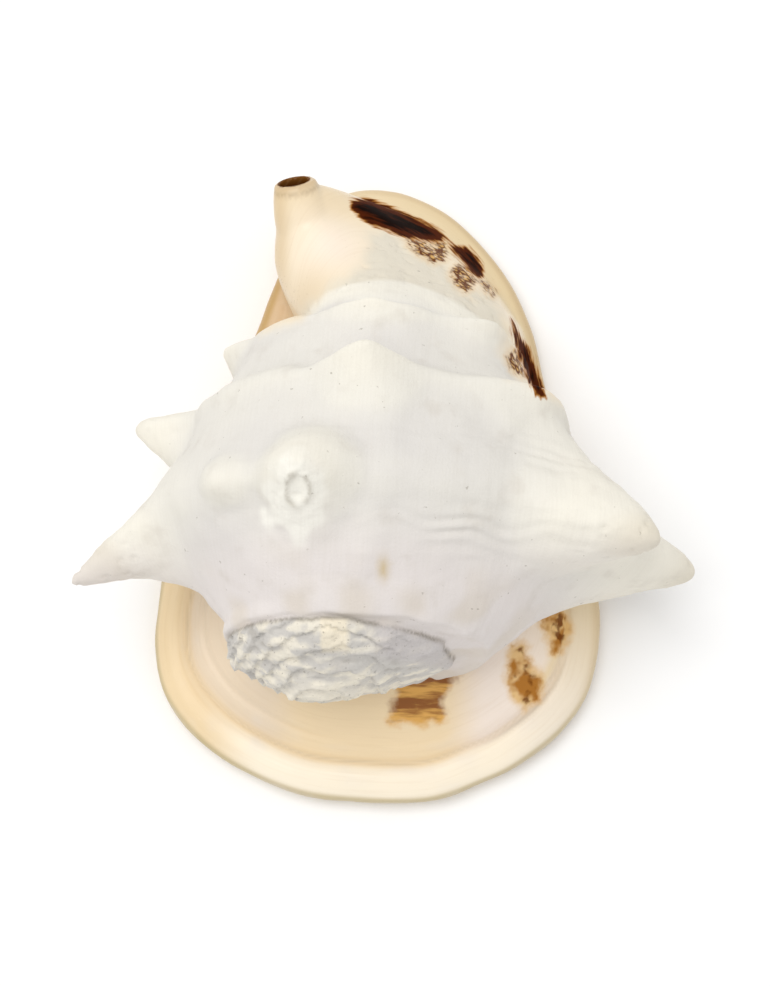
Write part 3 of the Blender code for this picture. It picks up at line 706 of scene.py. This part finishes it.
# The dish, the roll and the lip, with painted shade in the roll's crease and along the rim's turned-down
# outer edge.
low = eased(3.0 - above, 0, 2.5)
rear, lip = low * (1 - share), low * share
roll = rear * (1 - eased(inwards, 10, 13))
triangle = low * eased(-x, 20, 27) * eased(y, 28, 40)
for coat, amount in (
        (DISH, rear),
        (DISH_PALE, rear * eased(x, 18, 34)),
        (ROLL, roll),
        (ROLL_TAN, rear * (1 - eased(inwards, 9, 14)) * eased(-x, 40, 62) * 0.85),
        (ROLL_PALE, roll * eased(x, 36, 58)),
        (DISH_GREY, 0.8 * rear * eased(-x, 26, 40) * eased(inwards, 12, 15)),
        (DISH_GOLD, 0.8 * rear * spot(inwards, 15.5, 1.6) * eased(x, 40, 56)),
        # Painted shade: a tan line darkens the roll's crease, and a grey line lies just outside it on the
        # right.
        (CREASE_TAN_AND_SHADE, 0.55 * rear * spot(inwards, CREASE_INWARDS, 0.7)),
        (CREASE_SHADE_GREY, 0.6 * rear * spot(inwards, 11.5, 0.8) * eased(x, 25, 45)),
        # A khaki band with painted shade along the rim's outer edge, where the roll turns down.
        (EDGE_KHAKI_AND_SHADE, rear * (1 - eased(inwards, 0.6, 2.2)) * 0.8),
        (LIP_GOLD, lip * (1 - eased(inwards, 12, 20))),
        (LIP_TAN, lip * (1 - eased(inwards, 1.5, 4.5)) * 0.8),
        (TAN_PALE, triangle),
        (TAN_DARK, triangle * (1 - eased(inwards, 3, 6)) * 0.8)):
    ground = painted(ground, coat, amount)
# The chalk: a warm painted highlight where it stands out, a cool tone that varies at random and deepens into
# painted shade in the hollows, a lilac tone with painted shade on the rear slope behind the shoulder, and a
# tan stain behind the shoulder.
near_crater = np.linalg.norm(places[:, :2] - CRATER, axis=1) / MM
worn = np.tile(linear(CHALK), (len(places), 1))
for coat, amount in (
        (CHALK_COOL_TONE_AND_SHADE, 0.55 + 0.45 * grain(places, 24, 32) - 1.5 * eased(stands_out, 1.0, 1.12)),
        (CHALK_WARM_HIGHLIGHT, eased(stands_out, 1.03, 1.2)),
        (TIP_CREAM, 0.8 * eased(stands_out, 1.3, 1.5)),
        (CHALK_LILAC_AND_SHADE, 0.8 * eased(row, 4, 24)),
        (STAIN_PALE, 0.35 * eased(row, 12, 30) * eased(grain(places, 9, 33), -0.2, 0.7)),
        (PEELED_WHITE, 0.8 * (1 - eased(near_crater + 4 * grain(places, 5, 36), 7, 12))),
        (PEELED_EDGE, 0.5 * spot(near_crater, 3.4, 0.7) * eased(grain(places, 3, 37), -0.3, 0.3)),
        (STAIN_TAN, 0.9 * spot(x, -0.5, 1.6) * spot(y, -36, 3) * eased(height, 90, 100))):
    worn = painted(worn, coat, amount)
# The spire: grey where it is old, cream where a flake has gone, painted shade in the low places between the
# flakes, with two pale plates down its rear.
flaky = flaking(places)
plate = eased(4.5 - np.abs(x + 15), 0, 1) * eased(y, -58, -56) * eased(-y, 46, 47)
left_plate = eased(3.5 - np.abs(x + 46), 0, 1) * eased(y, -50, -48)
old = np.tile(linear(SPIRE_GREY), (len(places), 1))
for coat, amount in (
        (SPIRE_CREAM, 0.75 * eased(flaky, 0.0, 0.4)),
        (SPIRE_CREAM, 0.7 * eased(5 * flaky - y, 60, 68) * eased(10 - x, 0, 10)),
        (SPIRE_FLAKE_SHADE, 0.45 * eased(-flaky, 0.35, 0.7)),
        (PLATE_CREAM, 0.9 * plate),
        (PLATE_TAN, 0.9 * left_plate),
        (SPIRE_LILAC, 0.8 * eased(x, -8, 2) * eased(y, -60, -57))):
    old = painted(old, coat, amount)
worn = worn + (old - worn) * on_spire[:, None]
suture = outside * suture_share(places, row, radius, above, 0.65)
worn = painted(worn, SUTURE_BROWN, 0.75 * suture * eased(grain(places, 7, 35), -1.0, -0.2))
ground = ground + (worn - ground) * chalk[:, None]
# The underside: orange enamel round the aperture, paler teeth, and a warm chamber.
below = np.tile(linear(UNDER), (len(places), 1))
slit_line = [(px, py) for px, py, half in APERTURE] + [(px + 0.5, py) for px, py, half in APERTURE[::-1]]
to_slit = np.abs(inside(slit_line, places[:, :2]))
for coat, amount in (
        (UNDER_ORANGE, 0.9 * (1 - eased(to_slit + 3 * grain(places, 9, 34), 10, 34))),
        (TEETH_PALE, 0.9 * cut_share * spot(height, 4.5, 4.5)),
        (LIP_TAN, 0.5 * (1 - eased(inwards, 1, 5)))):
    below = painted(below, coat, amount)
ground = ground + (below - ground) * np.maximum(under, cut_share * (y < 84))[:, None]
# The canal's mouth: the bore's brown enamel deepened to near black by painted shade, an amber edge, and a
# pale rim with a thin line behind it.
bore = cut_share * eased(y, 80, 90) * eased(height, 26, 34)
to_mouth = (places - MOUTH) @ MOUTH_WAY / MM
near_mouth = eased(14 - np.linalg.norm(places - MOUTH, axis=1) / MM, 0, 2)
rim_share = (1 - cut_share) * near_mouth
for coat, amount in (
        (BORE_BROWN_AND_SHADE, bore),
        (BORE_AMBER, 0.8 * cut_share * near_mouth * spot(to_mouth, 0, 2.5)),
        (RIM_LIGHT, 0.7 * rim_share * eased(to_mouth, -3.2, -1.6)),
        (RIM_LINE, 0.45 * rim_share * spot(to_mouth, -3.4, 0.8))):
    ground = painted(ground, coat, amount)

top = outside * eased(height, 5, 8)


def patches(outlines, mask):
    """Distance inside the nearest of the outlines (mm), and well outside where the mask is 0."""
    distance = np.max([inside(outline, plan) for outline in outlines], axis=0)
    return np.clip(distance, -6, 6) * mask - 6 * (1 - mask)


def keep(name, values):
    """Store numbers or colours on the vertices, for the material to read."""
    if values.ndim == 1:
        mesh.attributes.new(name, "FLOAT", "POINT").data.foreach_set("value", values.astype(np.float32))
    else:
        colours = np.column_stack([values, np.ones(len(values))]).astype(np.float32)
        mesh.attributes.new(name, "FLOAT_COLOR", "POINT").data.foreach_set("color", colours.ravel())


in_dish = top * eased(30 - height, 0, 3) * eased(-y, 20, 30)
keep("ground", ground)
keep("chalk", chalk)
keep("old", chalk * on_spire)
keep("black_mm", patches(BLACK_PATCHES, top))
keep("comb_mm", patches(COMB_PATCHES, top))
keep("blot_mm", patches(BLOT_PATCHES, in_dish))
keep("banded_mm", patches([BANDED_PATCH], in_dish))
band_row = plan[:, 1] / MM
DARK_BAND, STREAKS_FROM, STREAKS_FULL = -68, -64.5, -60
keep("banding", np.maximum(spot(band_row, DARK_BAND, 3.0), 0.9 * eased(band_row, STREAKS_FROM, STREAKS_FULL)))
keep("round_mm", np.radians(turned) * radius)
keep("row_mm", row)
keep("inwards_mm", inwards)
keep("along_mm", bearing * RIM_RADIUS)


# Aragonite, the hard lime that molluscs build with. On the whorl it is sea-worn chalk, matt and streaked
# along the growth lines. On the fold, lip and dish it is smooth enamel, which gives them a soft gloss,
# and the pigment that lies in the enamel takes that gloss away.
finish = bpy.data.materials.new("worn_and_glazed_shell")
finish.use_nodes = True
tree = finish.node_tree
shader = tree.nodes["Principled BSDF"]
CHALK_ROUGHNESS, GLAZE_ROUGHNESS = 0.62, 0.24
GLAZE_SPECULAR, PIGMENT_SPECULAR = 0.16, 0.02
shader.inputs["IOR"].default_value = 1.53


def node(kind, inputs, output=0, **settings):
    """Add a node. Its inputs, in order or by name, are numbers, hex colours or the sockets that feed them."""
    made = tree.nodes.new("ShaderNode" + kind)
    for name, value in settings.items():
        setattr(made, name, value)
    for name, value in (inputs.items() if isinstance(inputs, dict) else enumerate(inputs)):
        if isinstance(value, bpy.types.NodeSocket):
            tree.links.new(value, made.inputs[name])
        else:
            made.inputs[name].default_value = (*linear(value), 1) if isinstance(value, str) else value
    return made.outputs[output]


SMOOTH, RGBA = {"interpolation_type": "SMOOTHSTEP"}, {"data_type": "RGBA"}
TIMES, PLUS, MOST = ({"operation": operation} for operation in ("MULTIPLY", "ADD", "MAXIMUM"))
TIMES_PLUS = {"operation": "MULTIPLY_ADD"}
# Everything below is in millimetres: places, distances and the sizes of the patterns' grains.
place = node("VectorMath", {0: node("TexCoord", {}, 3), "Scale": 1 / MM}, operation="SCALE")
chalk, old, banding, round_whorl, along_axis, inwards, along_rim = (
    node("Attribute", {}, 2, attribute_name=name)
    for name in ("chalk", "old", "banding", "round_mm", "row_mm", "inwards_mm", "along_mm"))
glaze = node("Math", [1.0, chalk], operation="SUBTRACT")

# Growth lines run along the axis, so their grain is drawn out that way, and each coat of enamel ends in
# a line along the rim. Streaks of pigment follow the rim too.
on_whorl = node("VectorMath", [node("CombineXYZ", [round_whorl, along_axis]), (1, 0.07, 0)], **TIMES)
on_coats = node("VectorMath", [node("CombineXYZ", [inwards, along_rim]), (1, 0.05, 0)], **TIMES)
on_streaks = node("VectorMath", [node("CombineXYZ", [along_rim, inwards]), (0.22, 1, 0)], **TIMES)
growth_lines, coat_lines, speckle, mottle, pits, chalk_grain, flake_grain, worn_through = (
    node("TexNoise", {"Vector": where, "Scale": 1 / size, "Detail": detail})
    for where, size, detail in (
        (on_whorl, 0.9, 3), (on_coats, 1.0, 3), (place, 1.1, 4), (place, 9, 4), (place, 2.4, 5),
        (place, 0.7, 4), (place, 1.6, 5), (place, 3.0, 4)))

colour = node("Attribute", {}, 0, attribute_name="ground")
for pattern, low, high, strength, where, coat in (
        (growth_lines, 0.35, 0.72, 0.09, chalk, "#CFC8BC"), (mottle, 0.52, 0.80, 0.30, chalk, "#C9C0B4"),
        (coat_lines, 0.45, 0.75, 0.08, glaze, "#C9A878"), (speckle, 0.62, 0.74, 0.50, old, "#857E72"),
        (pits, 0.70, 0.74, 0.45, chalk, "#8F8878")):
    share = node("Math", [node("MapRange", [pattern, low, high, 0, strength], **SMOOTH), where], **TIMES)
    colour = node("Mix", {0: share, 6: colour, 7: coat}, 2, **RGBA)

# The patches' edges waver: to the distance inside the outline, each adds noise of its own size and spread.
edges = []
for name, where, size, spread, offset in (
        ("black_mm", on_streaks, 1.1, 3.4, -1.9), ("comb_mm", place, 2.0, 3.0, -1.2),
        ("blot_mm", place, 4.0, 5.0, -1.9), ("banded_mm", place, 4.5, 6.0, -2.2)):
    waver = node("TexNoise", {"Vector": where, "Scale": 1 / size, "Detail": 3})
    waver = node("Math", [waver, spread, offset], **TIMES_PLUS)
    edges.append(node("Math", [node("Attribute", {}, 2, attribute_name=name), waver], **PLUS))
black, comb, blot, banded = edges

# The honeycombed amber: brown walls round pale cells about 2.4 mm across, in a paler halo.
shift = node("TexNoise", {"Vector": place, "Scale": 1 / 1.6, "Detail": 3}, 1)
ragged = node("VectorMath", [shift, (1.2,) * 3, place], **TIMES_PLUS)
walls = node("TexVoronoi", {"Vector": ragged, "Scale": 1 / 2.4}, feature="DISTANCE_TO_EDGE")
comb_halo = node("MapRange", [comb, -2.2, 1.0, 0, 0.6], **SMOOTH)
comb_share = node("Math", [node("MapRange", [comb, -0.6, 0.9], **SMOOTH),
                           node("MapRange", [worn_through, 0.34, 0.52], **SMOOTH)], **TIMES)
comb_colour = node("Mix", {0: node("MapRange", [walls, 0.05, 0.42], **SMOOTH), 6: "#632F04", 7: "#DDAF66"},
                   2, **RGBA)

# Blots in the dish: the same pigment laid thinner, amber at the edge and brown where it pooled.
blot_halo = node("MapRange", [blot, -2.4, 1.6, 0, 0.85], **SMOOTH)
pooled, thick = (
    node("Math", [node("MapRange", [node("TexNoise", {"Vector": where, "Scale": 1 / size, "Detail": 2}),
                                    *band, 0, strength], **SMOOTH),
                  node("MapRange", [blot, *edge], **SMOOTH)], **TIMES)
    for where, size, band, strength, edge in (
        (place, 6, (0.64, 0.44), 0.9, (-0.8, 1.8)), (ragged, 5, (0.50, 0.36), 0.85, (0.2, 2.2))))

# The banded patch: a dark band along an old edge, and fine slanting streaks above it.
slanting = node("Mapping", {"Vector": place, "Rotation": (0, 0, radians(14)), "Scale": (0.16, 1.0, 0.3)})
streaks = node("TexNoise", {"Vector": slanting, "Scale": 1 / 1.5, "Detail": 3})
strip = node("Math", [banding, node("Math", [streaks, 1.8, -0.9], **TIMES_PLUS)], **PLUS)
banded_share = node("MapRange", [banded, -1.6, 2.2, 0, 0.92], **SMOOTH)
banded_colour = node("Mix", {0: node("MapRange", [strip, 0.1, 0.85], **SMOOTH), 6: "#DFA854", 7: "#854604"},
                     2, **RGBA)

# The near-black patches: an amber edge, streaks of brown, then a core that is nearly black.
cores = node("TexNoise", {"Vector": on_streaks, "Scale": 1 / 2.2, "Detail": 3})
inked = node("Math", [black, node("Math", [cores, 5.0, -2.4], **TIMES_PLUS)], **PLUS)
amber_edge, brown, core = (
    node("MapRange", limits, **SMOOTH)
    for limits in ([black, -0.9, 0.2], [black, -0.2, 0.6], [inked, 0.8, 2.9]))
for share, coat in (
        (comb_halo, "#DDB67C"), (comb_share, comb_colour), (blot_halo, "#E3B871"), (pooled, "#A9691A"),
        (thick, "#6A3406"), (banded_share, banded_colour), (amber_edge, "#B5782F"), (brown, "#4E1F08"),
        (core, "#150602")):
    colour = node("Mix", {0: share, 6: colour, 7: coat}, 2, **RGBA)
tree.links.new(colour, shader.inputs["Base Color"])

matt = node("Math", [chalk, node("MapRange", [black, -0.5, 0.5], **SMOOTH)], **MOST)
rough = node("MapRange", [matt, 0, 1, GLAZE_ROUGHNESS, CHALK_ROUGHNESS], **SMOOTH)
rough = node("Math", [rough, node("Math", [speckle, 0.10], **TIMES)], **PLUS)
tree.links.new(rough, shader.inputs["Roughness"])
pigment = comb_share
for limits in ([black, -0.5, 0.8], [blot, -2.4, 1.0], [banded, -1.6, 1.0]):
    pigment = node("Math", [pigment, node("MapRange", limits, **SMOOTH)], **MOST)
specular = node("MapRange", [pigment, 0, 1, GLAZE_SPECULAR, PIGMENT_SPECULAR], **SMOOTH)
tree.links.new(specular, shader.inputs["Specular IOR Level"])

# The finest relief, as heights in millimetres.
high = 0.0
for pattern, where, height_mm in (
        (growth_lines, chalk, 0.06), (coat_lines, glaze, 0.025), (chalk_grain, chalk, 0.16),
        (flake_grain, old, 0.7)):
    part = node("Math", [pattern, node("Math", [where, height_mm], **TIMES)], **TIMES)
    high = node("Math", [high, part], **PLUS)
bump = node("Bump", {"Height": high, "Strength": 0.8, "Distance": 1.0 * MM})
tree.links.new(bump, shader.inputs["Normal"])

mesh.polygons.foreach_set("material_index", np.zeros(len(mesh.polygons), np.int32))
mesh.materials.clear()
mesh.materials.append(finish)
for spare in (outside_slot, hollow_slot):
    bpy.data.materials.remove(spare)
mesh.shade_smooth()

# The shell lies on the flat of its shield, in the middle of the frame's box, and stays inside it.
low_corner, high_corner = (np.array(corner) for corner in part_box("shell"))
middle = (low_corner + high_corner) / 2
own_middle = (places.min(0) + places.max(0)) / 2
set_down = middle - own_middle
set_down[2] = low_corner[2] - places[:, 2].min()
places += set_down
places = np.clip(places, low_corner, high_corner)
mesh.vertices.foreach_set("co", places.astype(np.float32).ravel())
mesh.update()
shell.name = "helmet_shell"
mesh.name = "helmet_shell"
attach(shell, "root")
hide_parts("shell")

# ---------------------------------------------------------------------------------------------
# The floor: a plain white sheet of paper, large enough that its edge is out of sight.
# ---------------------------------------------------------------------------------------------
FLOOR_HALF = 1.5
PAPER_WHITE, PAPER_ROUGHNESS = 0.96, 0.9

corners = [(-FLOOR_HALF, -FLOOR_HALF, 0), (FLOOR_HALF, -FLOOR_HALF, 0), (FLOOR_HALF, FLOOR_HALF, 0),
           (-FLOOR_HALF, FLOOR_HALF, 0)]
paper = bpy.data.meshes.new("floor")
paper.from_pydata(corners, [], [(0, 1, 2, 3)])
floor = bpy.data.objects.new("floor", paper)
WORK.objects.link(floor)
white_paper = bpy.data.materials.new("white_paper")
white_paper.use_nodes = True
paper_shader = white_paper.node_tree.nodes["Principled BSDF"]
paper_shader.inputs["Base Color"].default_value = (*(PAPER_WHITE,) * 3, 1)
paper_shader.inputs["Roughness"].default_value = PAPER_ROUGHNESS
paper.materials.append(white_paper)

# ---------------------------------------------------------------------------------------------
# The light: a bright even room, and one broad soft sun from nearly overhead, a little to the left.
# ---------------------------------------------------------------------------------------------
ROOM = 0.66
SUN_FROM = Vector((-0.24, 0.10, 1.0))
SUN_STRENGTH = 1.50
SUN_SPREAD = radians(40)

room = bpy.data.worlds.new("room")
bpy.context.scene.world = room
room.use_nodes = True
room.node_tree.nodes["Background"].inputs["Color"].default_value = (1, 1, 1, 1)
room.node_tree.nodes["Background"].inputs["Strength"].default_value = ROOM
sun_data = bpy.data.lights.new("soft_sun", "SUN")
sun_data.energy = SUN_STRENGTH
sun_data.angle = SUN_SPREAD
sun = bpy.data.objects.new("soft_sun", sun_data)
WORK.objects.link(sun)
sun.rotation_mode = "QUATERNION"
sun.rotation_quaternion = SUN_FROM.to_track_quat("Z", "Y")
bpy.context.scene.view_settings.view_transform = "Standard"

# ---------------------------------------------------------------------------------------------
# The camera: nearly straight above the shell, tipped a little to the rear.
# ---------------------------------------------------------------------------------------------
CAMERA_TARGET = Vector(set_down) + Vector((0, 0, 0.050))
CAMERA_DISTANCE = 0.80
CAMERA_RISE = radians(78)
CAMERA_LENS = 92.0
SENSOR = 36.0
CAMERA_SHIFT = -0.00304

camera_data = bpy.data.cameras.new("camera")
camera_data.sensor_fit = "AUTO"
camera_data.sensor_width = SENSOR
camera_data.lens = CAMERA_LENS
camera_data.shift_y = CAMERA_SHIFT
camera = bpy.data.objects.new("camera", camera_data)
WORK.objects.link(camera)
back = Vector((0, -cos(CAMERA_RISE), sin(CAMERA_RISE)))
camera.location = CAMERA_TARGET + back * CAMERA_DISTANCE
camera.rotation_mode = "QUATERNION"
camera.rotation_quaternion = (-back).to_track_quat("-Z", "Y")
bpy.context.scene.camera = camera
